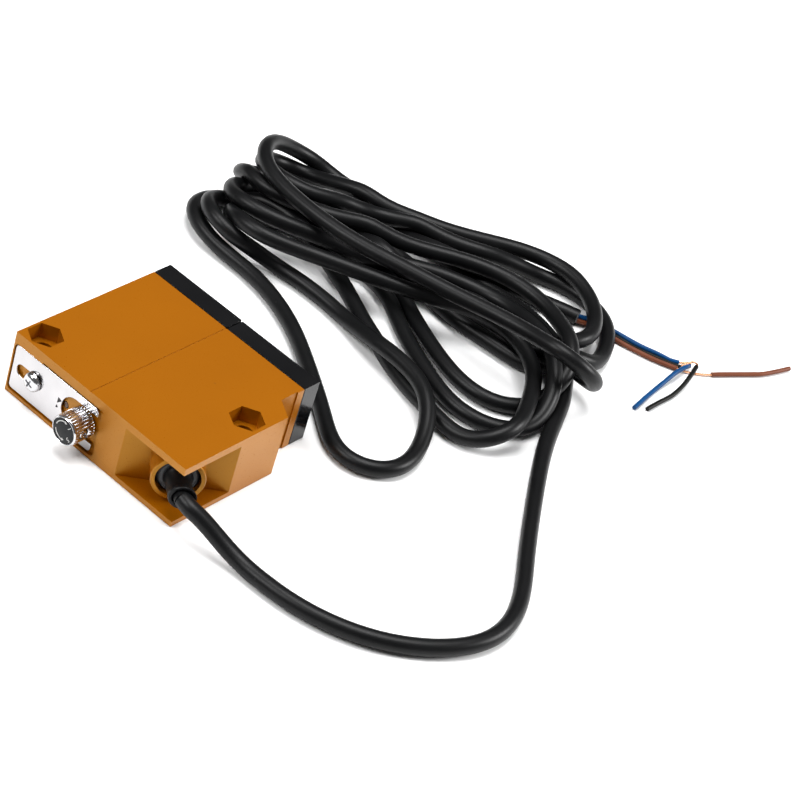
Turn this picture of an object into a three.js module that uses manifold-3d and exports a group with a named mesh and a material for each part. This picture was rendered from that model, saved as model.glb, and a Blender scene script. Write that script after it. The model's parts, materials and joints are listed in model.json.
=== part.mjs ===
// Photoelectric sensor with a free cable, in millimetres, +Z up.
// The housing lies on its large face. Inside the sensor group X runs along the rear face,
// Y from the rear face to the lens side and Z up from the base, all from one lower corner.
import * as THREE from "three";
import { mergeVertices } from "three/addons/utils/BufferGeometryUtils.js";
import Module from "manifold-3d";

const manifoldKit = await Module();
manifoldKit.setup();
const { Manifold, Mesh: ManifoldMesh } = manifoldKit;

// driving dimensions
const LENGTH = 58; // X, along the rear face
const BODY_DEPTH = 46.6; // Y, without the front windows
const HEIGHT = 18; // Z
const WINDOW_DEPTH = 5.5;
const EMITTER_STEP = 0.2; // the emitter half stands out this much further
const JOINT_GAP = 0.25; // between pieces that touch
const WALL = 2;
const EDGE = 0.4; // small bevel on outer edges

const COLLAR_INSET = 5.1; // the lens side is narrower at +X
const COLLAR_START = 38.6;
const SHOULDER_END = 35.2;
const SPLIT_X = 25.8; // groove between the emitter and receiver halves

const NOTCH = 38.5; // X - Y on the slanted wall behind the cable corner
const BASE_PLATE = 1.5;
const TOP_PLATE = 2;
const BOSS_RADIUS = 6.6;
const BOSS_FRONT = 6.7; // distance of the boss ring from the corner, along the diagonal
const GLAND_RADIUS = 5.25;
const SLEEVE_RADIUS = 3.25;
const CABLE_RADIUS = 2.2;
const CORE_RADIUS = 0.65;
const EXIT_Z = 9;

const NUT_FLATS = 8; // pocket for an M5 nut
const NUT_DEPTH = 4.4;
const BOLT_RADIUS = 2.6;
const HOLES = [
  [4.65, 5.2],
  [52.9, 26.1],
];

const RECESS = { left: 0.4, right: 30.8, bottom: 0.95, top: 14.9, depth: 1.05 };
const PLATE = { left: 0.65, right: 29.35, bottom: 1.5, top: 14.6, front: 0.25, back: 0.75 };
const SLOT_LEFT = 2.1;
const SLOT_HALF = 1.7; // half the width of the slot
const THROAT = 4.3; // half the width of the plate's opening round the knob
const AXIS_Z = 8.2; // height of the knob, the slot and the screw
const KNOB_X = 25.4;
const KNOB_RADIUS = 4;
const KNOB_FRONT = -6.1;
const KNOB_BACK = 0.7;
const SHAFT_RADIUS = 1.5;
const SCREW_X = 8.2;
const LAMP_X = 18.6;
const LENS_X = [13, 39.5];
const LENS_RADIUS = 5.5;
const FRONT = BODY_DEPTH + JOINT_GAP + WINDOW_DEPTH + EMITTER_STEP;
const CENTRE = [-LENGTH / 2, -(FRONT + KNOB_FRONT) / 2, 0];

const material = (color, roughness, metalness) =>
  new THREE.MeshStandardMaterial({ color, roughness, metalness });
const orange = material(0xc27a10, 0.5, 0.1);
const blackPlastic = material(0x0d0d0e, 0.3, 0);
const blackRubber = material(0x17181a, 0.6, 0);
const darkGrey = material(0x2b2d30, 0.6, 0);
const polishedSteel = material(0xd8dade, 0.2, 1);
const chrome = material(0xe4e6ea, 0.1, 1);
const brass = material(0xb89a4a, 0.3, 1);
const clear = material(0xdfe8ee, 0.05, 0);
const boardGreen = material(0x1f6a3c, 0.5, 0);
const copper = material(0xc98a52, 0.35, 1);
const white = material(0xf0f0ee, 0.5, 0);
const coreColour = {
  brown: material(0x8a4a26, 0.5, 0),
  blue: material(0x1257a8, 0.5, 0),
  black: material(0x151515, 0.5, 0),
};

const root = new THREE.Group();
const sensor = new THREE.Group();
sensor.position.set(...CENTRE);
root.add(sensor);

function addMesh(name, geometry, look, parent = sensor) {
  const mesh = new THREE.Mesh(geometry, look);
  mesh.name = name;
  parent.add(mesh);
  return mesh;
}

function toManifold(geometry) {
  const plain = geometry.clone();
  plain.deleteAttribute("normal");
  plain.deleteAttribute("uv");
  const welded = mergeVertices(plain, 1e-4);
  return new Manifold(
    new ManifoldMesh({
      numProp: 3,
      vertProperties: new Float32Array(welded.attributes.position.array),
      triVerts: new Uint32Array(welded.index.array),
    }),
  );
}

function toGeometry(solid) {
  const mesh = solid.getMesh();
  const geometry = new THREE.BufferGeometry();
  geometry.setAttribute("position", new THREE.BufferAttribute(new Float32Array(mesh.vertProperties), 3));
  geometry.setIndex(new THREE.BufferAttribute(new Uint32Array(mesh.triVerts), 1));
  geometry.computeVertexNormals();
  return geometry;
}

const cut = (base, tools) => toGeometry(toManifold(base).subtract(Manifold.union(tools.map(toManifold))));
const join = (pieces) => toGeometry(Manifold.union(pieces.map(toManifold)));

function box(x0, x1, y0, y1, z0, z1) {
  const geometry = new THREE.BoxGeometry(x1 - x0, y1 - y0, z1 - z0);
  return geometry.translate((x0 + x1) / 2, (y0 + y1) / 2, (z0 + z1) / 2);
}

// outline in X and Y, raised from z0 to z1
function raised(shape, z0, z1, bevel = 0) {
  const geometry = new THREE.ExtrudeGeometry(shape, {
    depth: z1 - z0 - 2 * bevel,
    bevelEnabled: bevel > 0,
    bevelThickness: bevel,
    bevelSize: bevel,
    bevelOffset: -bevel,
    bevelSegments: 1,
    curveSegments: 8,
  });
  return geometry.translate(0, 0, z0 + bevel);
}

// outline in X and Z, running back from y0 to y1
function facing(shape, y0, y1) {
  const settings = { depth: y1 - y0, bevelEnabled: false, curveSegments: 6 };
  const geometry = new THREE.ExtrudeGeometry(shape, settings);
  return geometry.rotateX(Math.PI / 2).translate(0, y1, 0);
}

function polygon(points) {
  return new THREE.Shape(points.map(([x, y]) => new THREE.Vector2(x, y)));
}

function roundedRect(x0, x1, y0, y1, r) {
  const shape = new THREE.Shape();
  shape.absarc(x1 - r, y0 + r, r, -Math.PI / 2, 0);
  shape.absarc(x1 - r, y1 - r, r, 0, Math.PI / 2);
  shape.absarc(x0 + r, y1 - r, r, Math.PI / 2, Math.PI);
  shape.absarc(x0 + r, y0 + r, r, Math.PI, Math.PI * 1.5);
  shape.closePath();
  return shape;
}

const post = (r, x, y, z0, z1, sides = 24) =>
  new THREE.CylinderGeometry(r, r, z1 - z0, sides).rotateX(Math.PI / 2).translate(x, y, (z0 + z1) / 2);
const rod = (r, x, z, y0, y1, sides = 24) =>
  new THREE.CylinderGeometry(r, r, y1 - y0, sides).translate(x, (y0 + y1) / 2, z);

// ring or plug about the Y axis from [radius, y] points
function turned(points, x, z, sides = 32) {
  const profile = points.map(([r, y]) => new THREE.Vector2(r, y));
  profile.push(profile[0].clone());
  return new THREE.LatheGeometry(profile, sides).translate(x, 0, z);
}

// the same about the diagonal through the cable corner; distances along it grow outwards from the corner
function onDiagonal(geometry) {
  return geometry.rotateZ(-Math.PI * 0.75).translate(LENGTH, 0, EXIT_Z);
}
function diagonalTurned(points, sides = 32) {
  return onDiagonal(turned(points, 0, 0, sides));
}
const diagonalRod = (r, d0, d1, sides = 24) => onDiagonal(rod(r, 0, 0, d0, d1, sides));

function bodyOutline() {
  const inner = LENGTH - COLLAR_INSET;
  return polygon([
    [0, 0],
    [LENGTH, 0],
    [LENGTH, SHOULDER_END],
    [inner - 0.35, COLLAR_START],
    [inner - 0.35, BODY_DEPTH - 2.3],
    [inner, BODY_DEPTH - 2.3],
    [inner, BODY_DEPTH],
    [0, BODY_DEPTH],
  ]);
}

function cavity() {
  const shape = polygon([
    [11, 3.4],
    [39.2, 3.4],
    [46.4, 10.6],
    [46.4, 33],
    [50.4, 37.5],
    [50.4, BODY_DEPTH + 1],
    [WALL, BODY_DEPTH + 1],
    [WALL, 11],
    [11, 11],
  ]);
  return raised(shape, WALL, HEIGHT - WALL);
}

function nutPocket([x, y]) {
  const corner = NUT_FLATS / Math.sqrt(3);
  const hex = new THREE.CylinderGeometry(corner, corner, NUT_DEPTH + 1, 6);
  hex.rotateX(Math.PI / 2).translate(x, y, HEIGHT - NUT_DEPTH + (NUT_DEPTH + 1) / 2);
  return [hex, post(BOLT_RADIUS, x, y, -1, HEIGHT - NUT_DEPTH + 0.5)];
}

function housing() {
  const corner = polygon([
    [NOTCH, 0],
    [NOTCH - 2, -2],
    [LENGTH + 2, -2],
    [LENGTH + 2, LENGTH + 2 - NOTCH],
  ]);
  const hollowed = cut(raised(bodyOutline(), 0, HEIGHT, EDGE), [
    cavity(),
    raised(corner, BASE_PLATE, HEIGHT - TOP_PLATE),
  ]);
  const wallDistance = (LENGTH - NOTCH) / Math.SQRT2;
  const boss = diagonalRod(BOSS_RADIUS, -wallDistance - 0.6, -BOSS_FRONT, 40);
  const recess = roundedRect(RECESS.left, RECESS.right, RECESS.bottom, RECESS.top, 1.3);
  return cut(join([hollowed, boss]), [
    ...HOLES.flatMap(nutPocket),
    diagonalRod(GLAND_RADIUS + JOINT_GAP, -12.3, 0, 40),
    diagonalRod(CABLE_RADIUS + 0.4, -18, -12, 20),
    facing(recess, -1, RECESS.depth),
    box(10, RECESS.right, -1, 0.45, RECESS.top - 0.1, RECESS.top + 0.6),
    rod(SHAFT_RADIUS + 0.3, KNOB_X, AXIS_Z, 0.5, 4),
    rod(1.05, LAMP_X, AXIS_Z, 0.5, 4, 16),
    rod(1.5, SCREW_X, AXIS_Z, 0.5, 6.5, 16),
    box(SPLIT_X - 0.4, SPLIT_X + 0.4, -1, BODY_DEPTH + 1, HEIGHT - 0.5, HEIGHT + 1),
  ]);
}

// one black front half: a shallow cap whose rim goes into the housing
function frontWindow(x0, x1, extra) {
  const y0 = BODY_DEPTH + JOINT_GAP;
  const y1 = y0 + WINDOW_DEPTH + extra;
  const shape = polygon([
    [x0, y0],
    [x1, y0],
    [x1, y1],
    [x0, y1],
  ]);
  const rimLeft = x0 === 0 ? WALL + JOINT_GAP : x0;
  const rimRight = x0 === 0 ? x1 : 50.4 - JOINT_GAP;
  const low = WALL + JOINT_GAP;
  const high = HEIGHT - low;
  const rim = box(rimLeft, rimRight, BODY_DEPTH - 1.8, y0 + 0.5, low, high);
  const hollow = box(rimLeft + 1, rimRight - 1, BODY_DEPTH - 3, y1 - 1.6, low + 1, high - 1);
  return cut(join([raised(shape, 0, HEIGHT, EDGE), rim]), [hollow]);
}

function lens(x) {
  const arc = [];
  for (let i = 0; i <= 8; i++) {
    const r = (LENS_RADIUS - 0.6) * (1 - i / 8);
    arc.push([r, 47.6 + 2.2 * (1 - (r / (LENS_RADIUS - 0.6)) ** 2)]);
  }
  return turned([[0, 46.6], [LENS_RADIUS, 46.6], [LENS_RADIUS, 47.6], ...arc], x, EXIT_Z, 32);
}

// black block behind the lenses, with one conical light channel for each
function opticsCarrier() {
  const channels = LENS_X.map((x) =>
    turned([[0, 38], [3, 38], [5, 45], [5, 47], [0, 47]], x, EXIT_Z, 24),
  );
  const pins = LENS_X.map((x) => rod(2.8, x, EXIT_Z, 30, 39, 20));
  return cut(box(4.6, 48.6, 36, 44.5, 3.2, 14.8), [...channels, ...pins]);
}

// dome lamp with two legs that stand on the board
function opto(x, radius) {
  const dome = [
    [0, 33],
    [radius, 33],
    [radius, 37.6],
    [radius * 0.8, 38.8],
    [radius * 0.4, 39.5],
    [0, 39.7],
  ];
  const legs = [-1.3, 1.3].map((d) => box(x + d - 0.25, x + d + 0.25, 33.4, 33.9, 4.9, EXIT_Z));
  return join([turned(dome, x, EXIT_Z, 20), ...legs]);
}

function circuitBoard() {
  const shape = polygon([
    [12, 5],
    [38.2, 5],
    [45.2, 12],
    [45.2, 35.4],
    [4.6, 35.4],
    [4.6, 12],
    [12, 12],
  ]);
  return raised(shape, 3.3, 4.6);
}

function potentiometer() {
  const body = box(KNOB_X - 3.5, KNOB_X + 3.5, 5.2, 10.2, 4.9, 12.2);
  return cut(body, [rod(SHAFT_RADIUS + 0.3, KNOB_X, AXIS_Z, 4, 8.2, 20)]);
}

function knob() {
  const shape = new THREE.Shape();
  const teeth = 34;
  for (let i = 0; i < teeth * 2; i++) {
    const r = i % 2 ? KNOB_RADIUS - 0.28 : KNOB_RADIUS;
    const a = (i / (teeth * 2)) * Math.PI * 2;
    const step = i ? "lineTo" : "moveTo";
    shape[step](KNOB_X + r * Math.cos(a), AXIS_Z + r * Math.sin(a));
  }
  const grip = facing(shape, KNOB_FRONT + 0.5, KNOB_BACK);
  const rimProfile = [
    [0, KNOB_FRONT],
    [KNOB_RADIUS - 0.45, KNOB_FRONT],
    [KNOB_RADIUS - 0.1, KNOB_FRONT + 0.35],
    [KNOB_RADIUS - 0.1, KNOB_FRONT + 0.9],
    [0, KNOB_FRONT + 0.9],
  ];
  const setScrewHole = new THREE.CylinderGeometry(1.4, 1.4, 4, 20).rotateZ(Math.PI / 2);
  setScrewHole.translate(KNOB_X + 3.4, -2.7, AXIS_Z);
  return cut(join([grip, turned(rimProfile, KNOB_X, AXIS_Z, 48)]), [
    rod(KNOB_RADIUS - 0.55, KNOB_X, AXIS_Z, KNOB_FRONT - 1, KNOB_FRONT + 0.5, 40),
    rod(SHAFT_RADIUS + 0.2, KNOB_X, AXIS_Z, KNOB_FRONT + 1.6, KNOB_BACK + 1),
    setScrewHole,
  ]);
}

function setScrew() {
  const body = new THREE.CylinderGeometry(1.15, 1.15, 1.6, 20).rotateZ(Math.PI / 2);
  const socket = new THREE.CylinderGeometry(0.6, 0.6, 1, 6).rotateZ(Math.PI / 2).translate(0.7, 0, 0);
  return cut(body, [socket]).translate(KNOB_X + 2.8, -2.7, AXIS_Z);
}

function lockPlate() {
  const outline = roundedRect(PLATE.left, PLATE.right, PLATE.bottom, PLATE.top, 1.15);
  const slotRight = SCREW_X + SLOT_HALF;
  const slot = roundedRect(SLOT_LEFT, slotRight, AXIS_Z - SLOT_HALF, AXIS_Z + SLOT_HALF, SLOT_HALF - 0.01);
  const openingLeft = KNOB_X - THROAT - 3.2;
  const opening = roundedRect(openingLeft, LENGTH, AXIS_Z - THROAT, AXIS_Z + THROAT, THROAT - 0.01);
  const cutters = [slot, opening].map((shape) => facing(shape, PLATE.front - 1, PLATE.back + 1));
  return cut(facing(outline, PLATE.front, PLATE.back), cutters);
}

function lockScrew() {
  const profile = [
    [0, -1.55],
    [1.7, -1.45],
    [2.35, -0.95],
    [2.55, -0.4],
    [2.55, 0],
    [1.2, 0],
    [1.2, 6.2],
    [0, 6.2],
  ];
  const blade = (angle) =>
    box(-1.3, 1.3, -2.5, -0.75, -0.3, 0.3).rotateY(angle).translate(SCREW_X, 0, AXIS_Z);
  return cut(turned(profile, SCREW_X, AXIS_Z, 28), [blade(0.4), blade(0.4 + Math.PI / 2)]);
}

function gland() {
  return diagonalTurned([
    [CABLE_RADIUS + 0.3, -12],
    [GLAND_RADIUS, -12],
    [GLAND_RADIUS, -8.1],
    [GLAND_RADIUS - 0.5, -7.6],
    [CABLE_RADIUS + 0.3, -7.6],
  ]);
}

function strainRelief() {
  return diagonalTurned([
    [CABLE_RADIUS + 0.3, -7.3],
    [SLEEVE_RADIUS + 0.2, -7.3],
    [SLEEVE_RADIUS, -6.6],
    [SLEEVE_RADIUS - 0.1, -1.1],
    [SLEEVE_RADIUS + 0.1, -0.9],
    [SLEEVE_RADIUS + 0.1, -0.3],
    [CABLE_RADIUS + 0.3, -0.3],
  ]);
}

function tube(points, radius, sides, steps) {
  const path = new THREE.CatmullRomCurve3(points.map((p) => new THREE.Vector3(...p)), false, "centripetal");
  const section = new THREE.Shape();
  for (let i = 0; i < sides; i++) {
    const a = (i / sides) * Math.PI * 2;
    section[i ? "lineTo" : "moveTo"](radius * Math.cos(a), radius * Math.sin(a));
  }
  return new THREE.ExtrudeGeometry(section, { steps, bevelEnabled: false, extrudePath: path });
}

addMesh("housing", housing(), orange);
addMesh("window_emitter", frontWindow(0, SPLIT_X - 0.2, EMITTER_STEP), blackPlastic);
addMesh("window_receiver", frontWindow(SPLIT_X + 0.2, LENGTH - COLLAR_INSET, 0), blackPlastic);
addMesh("lens_emitter", lens(LENS_X[0]), clear);
addMesh("lens_receiver", lens(LENS_X[1]), clear);
addMesh("optics_carrier", opticsCarrier(), blackPlastic);
addMesh("emitter_lamp", opto(LENS_X[0], 2.5), clear);
addMesh("photodiode", opto(LENS_X[1], 2.5), blackPlastic);
addMesh("circuit_board", circuitBoard(), boardGreen);
addMesh("controller_chip", box(19, 26, 17, 24, 4.9, 6.3), blackPlastic);
addMesh("driver_chip", box(31, 36, 20, 24, 4.9, 6.4), blackPlastic);
addMesh("capacitor", post(2.5, 40, 27, 4.9, 11.5, 20), polishedSteel);
addMesh("potentiometer", potentiometer(), blackPlastic);
addMesh("terminal_block", box(34, 42, 12.6, 16.6, 4.9, 9.6), white);
addMesh("status_lamp", box(LAMP_X - 1.2, LAMP_X + 1.2, 7.4, 9.2, 4.9, 9.6), clear);
addMesh("light_pipe", rod(0.8, LAMP_X, AXIS_Z, PLATE.back + 0.3, 7.1, 16), clear);
addMesh("potentiometer_shaft", rod(SHAFT_RADIUS, KNOB_X, AXIS_Z, KNOB_FRONT + 1.9, 8, 20), brass);
addMesh("knob", knob(), chrome);
const dial = rod(KNOB_RADIUS - 0.8, KNOB_X, AXIS_Z, KNOB_FRONT + 0.1, KNOB_FRONT + 0.3, 40);
addMesh("knob_dial", dial, blackPlastic);
addMesh("knob_set_screw", setScrew(), polishedSteel);
addMesh("lock_plate", lockPlate(), polishedSteel);
addMesh("lock_screw", lockScrew(), chrome);
addMesh("cable_gland", gland(), darkGrey);
addMesh("strain_relief", strainRelief(), blackRubber);

// the free cable, in the frame of the whole object: out of the strain relief, down to the floor and round
// to the hank
const LEAD_ROUTE = [
  [29.1, -23.3, 9],
  [30.6, -24.5, 9],
  [32.6, -24.3, 8.7],
  [34.9, -22.9, 8],
  [37.4, -21.7, 6.8],
  [40.9, -20.9, 5.2],
  [45.3, -20.3, 3.7],
  [50, -20, 2.6],
  [58, -20, 2.3],
  [66, -19, 2.3],
  [75, -16, 2.3],
  [83, -12, 2.3],
  [94, -1, 2.3],
  [98, 6, 2.3],
  [100, 15, 2.3],
  [96, 28, 2.3],
  [86, 43, 2.3],
  [74, 61, 2.3],
  [64, 77, 2.3],
  [60.5, 84.5, 2.3],
];
const HANK_HEIGHT = 17.6;
const HANK_OUTLINE = [
  [35, 28],
  [47, 32],
  [48.5, 46],
  [45, 58],
  [55, 62],
  [57.2, 72],
  [57, 84],
  [58.5, 96],
  [58.5, 109],
  [51, 116],
  [47, 133],
  [38, 142],
  [14, 142],
  [-4, 131],
  [-22, 121],
  [-50, 121],
  [-62, 110],
  [-66, 95],
  [-63, 76],
  [-54, 61],
  [-28, 60],
  [-8, 54],
  [14, 40],
];

// each core: its jacket up to the cut, the bare wire, and the piece of jacket slid to the end of the wire
const CORES = {
  blue: {
    jacket: [
      [49.8, 139.3, 1.4],
      [54.7, 141.3, 1.4],
      [59.4, 143.8, 1],
    ],
    wire: [
      [59.6, 144.1, 0.7],
      [60.8, 146.3, 0.6],
      [62, 146.6, 0.7],
      [62.4, 145.5, 0.9],
    ],
    end: [
      [62.5, 145.1, 1.4],
      [62.6, 140.5, 1.9],
      [63, 130, 0.8],
      [63.7, 124, 0.7],
      [64.8, 116.5, 0.7],
    ],
  },
  brown: {
    jacket: [
      [50.9, 136.9, 0.7],
      [56, 139, 0.7],
      [60.6, 141.2, 0.7],
    ],
    wire: [
      [60.9, 141.4, 0.5],
      [64, 143.6, 0.4],
      [68, 148.2, 0.5],
    ],
    end: [
      [68.2, 148.5, 0.7],
      [71.5, 154.5, 0.7],
      [76, 162.3, 0.7],
      [79, 171.7, 0.7],
    ],
  },
  black: {
    jacket: [
      [50.3, 138.2, 0.7],
      [55.3, 140.3, 0.7],
      [59.8, 142.3, 0.7],
    ],
    wire: [
      [60.1, 142.6, 0.8],
      [61.3, 145, 1.9],
      [63.4, 146.4, 2.2],
      [64.6, 145.6, 2],
    ],
    end: [
      [64.8, 145.2, 1.9],
      [65.7, 141, 1.9],
      [66.9, 136, 0.9],
      [67.4, 130, 0.7],
      [67.1, 119.4, 0.7],
    ],
  },
};

function hank() {
  const curve = new THREE.CatmullRomCurve3(HANK_OUTLINE.map(([x, y]) => new THREE.Vector3(x, y, 0)), true);
  const outline = curve.getSpacedPoints(64).slice(0, -1);
  return raised(polygon(outline.map((p) => [p.x, p.y])), 0, HANK_HEIGHT);
}

addMesh("cable_lead", tube(LEAD_ROUTE, CABLE_RADIUS, 10, 26), blackRubber, root);
addMesh("cable_hank", hank(), blackRubber, root);
for (const [colour, route] of Object.entries(CORES)) {
  addMesh(`core_${colour}`, tube(route.jacket, CORE_RADIUS, 8, 3), coreColour[colour], root);
  addMesh(`wire_${colour}`, tube(route.wire, CORE_RADIUS / 2, 8, 5), copper, root);
  addMesh(`core_end_${colour}`, tube(route.end, CORE_RADIUS, 8, 6), coreColour[colour], root);
}

export default root;
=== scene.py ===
"""Photoelectric sensor with its cable: the looks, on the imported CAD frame, in metres."""

import json
import math

import bmesh
import bpy
import numpy as np
from mathutils import Matrix, Vector


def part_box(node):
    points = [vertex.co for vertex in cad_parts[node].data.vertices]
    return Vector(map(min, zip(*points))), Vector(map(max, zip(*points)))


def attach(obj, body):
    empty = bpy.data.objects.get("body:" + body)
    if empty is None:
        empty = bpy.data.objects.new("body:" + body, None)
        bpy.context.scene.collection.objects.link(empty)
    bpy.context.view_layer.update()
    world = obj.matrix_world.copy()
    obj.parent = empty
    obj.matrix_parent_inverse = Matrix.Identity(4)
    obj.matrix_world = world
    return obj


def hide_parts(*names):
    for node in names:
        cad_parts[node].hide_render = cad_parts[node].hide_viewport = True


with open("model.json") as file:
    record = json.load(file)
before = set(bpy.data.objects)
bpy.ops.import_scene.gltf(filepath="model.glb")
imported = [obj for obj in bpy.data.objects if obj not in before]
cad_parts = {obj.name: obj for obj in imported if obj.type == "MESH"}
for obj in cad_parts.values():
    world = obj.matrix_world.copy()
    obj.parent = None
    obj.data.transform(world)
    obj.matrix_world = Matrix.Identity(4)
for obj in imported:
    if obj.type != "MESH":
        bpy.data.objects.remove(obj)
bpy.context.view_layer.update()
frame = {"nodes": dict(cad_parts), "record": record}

MM = 0.001
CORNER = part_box("housing")[0]  # the sensor's pieces are modelled in mm from this corner

# ---------------------------------------------------------------- camera
CAMERA_AT = Vector((0.3083, -0.4230, 0.4242))
LOOK_AT = Vector((0.0342, 0.0510, 0.0100))
CAMERA_ROLL = math.radians(18.4)
LENS = 123.7


def make_camera():
    data = bpy.data.cameras.new("camera")
    data.lens = LENS
    data.sensor_width = 36
    data.clip_start = 0.01
    camera = bpy.data.objects.new("camera", data)
    turn = (LOOK_AT - CAMERA_AT).to_track_quat("-Z", "Y").to_matrix().to_4x4()
    camera.matrix_world = (
        Matrix.Translation(CAMERA_AT) @ turn @ Matrix.Rotation(CAMERA_ROLL, 4, "Z")
    )
    bpy.context.collection.objects.link(camera)
    bpy.context.scene.camera = camera


make_camera()


# ---------------------------------------------------------------- materials
GRAIN_DEPTH = 0.03 * MM  # height of the fine grain in a surface


def new_material(name):
    material = bpy.data.materials.new(name)
    material.use_nodes = True
    nodes = material.node_tree.nodes
    nodes.clear()
    output = nodes.new("ShaderNodeOutputMaterial")
    shader = nodes.new("ShaderNodeBsdfPrincipled")
    material.node_tree.links.new(shader.outputs[0], output.inputs[0])
    return material, nodes, material.node_tree.links, shader


def noise(nodes, links, place, scale, detail=4.0, stretch=None):
    if stretch:
        mapping = nodes.new("ShaderNodeMapping")
        mapping.inputs["Scale"].default_value = stretch
        links.new(place, mapping.inputs["Vector"])
        place = mapping.outputs[0]
    texture = nodes.new("ShaderNodeTexNoise")
    texture.inputs["Scale"].default_value = scale
    texture.inputs["Detail"].default_value = detail
    links.new(place, texture.inputs["Vector"])
    return texture.outputs["Fac"]


def spread(nodes, links, value, low, high, start=0.3, end=0.7):
    ranged = nodes.new("ShaderNodeMapRange")
    ranged.inputs["From Min"].default_value = start
    ranged.inputs["From Max"].default_value = end
    ranged.inputs["To Min"].default_value = low
    ranged.inputs["To Max"].default_value = high
    links.new(value, ranged.inputs["Value"])
    return ranged.outputs[0]


def blend_colours(nodes, links, factor, a, b):
    mixed = nodes.new("ShaderNodeMix")
    mixed.data_type = "RGBA"
    links.new(factor, mixed.inputs["Factor"])
    for socket, colour in ((mixed.inputs["A"], a), (mixed.inputs["B"], b)):
        if isinstance(colour, tuple):
            socket.default_value = (*colour, 1)
        else:
            links.new(colour, socket)
    return mixed.outputs["Result"]


def surface(
    name,
    colour,
    other,
    rough,
    metallic=0.0,
    patch=60.0,
    grain=2500.0,
    bump=0.15,
    stretch=None,
    specks=None,
    **sockets,
):
    """Two close colours in patches, fine grain in the bump and roughness, and optional specks."""
    material, nodes, links, shader = new_material(name)
    place = nodes.new("ShaderNodeTexCoord").outputs["Object"]
    patches = spread(nodes, links, noise(nodes, links, place, patch), 0, 1)
    base = blend_colours(nodes, links, patches, colour, other)
    fine = noise(nodes, links, place, grain, 6.0, stretch)
    if specks:
        dots = nodes.new("ShaderNodeTexVoronoi")
        dots.inputs["Scale"].default_value = specks["scale"]
        links.new(place, dots.inputs["Vector"])
        near = spread(nodes, links, dots.outputs["Distance"], specks["share"], 0, 0.02, specks["size"])
        base = blend_colours(nodes, links, near, base, specks["colour"])
    links.new(base, shader.inputs["Base Color"])
    links.new(spread(nodes, links, fine, *rough), shader.inputs["Roughness"])
    lumps = nodes.new("ShaderNodeBump")
    lumps.inputs["Strength"].default_value = bump
    lumps.inputs["Distance"].default_value = GRAIN_DEPTH
    links.new(fine, lumps.inputs["Height"])
    links.new(lumps.outputs[0], shader.inputs["Normal"])
    shader.inputs["Metallic"].default_value = metallic
    for socket, value in sockets.items():
        shader.inputs[socket.replace("_", " ")].default_value = value
    return material


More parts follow.
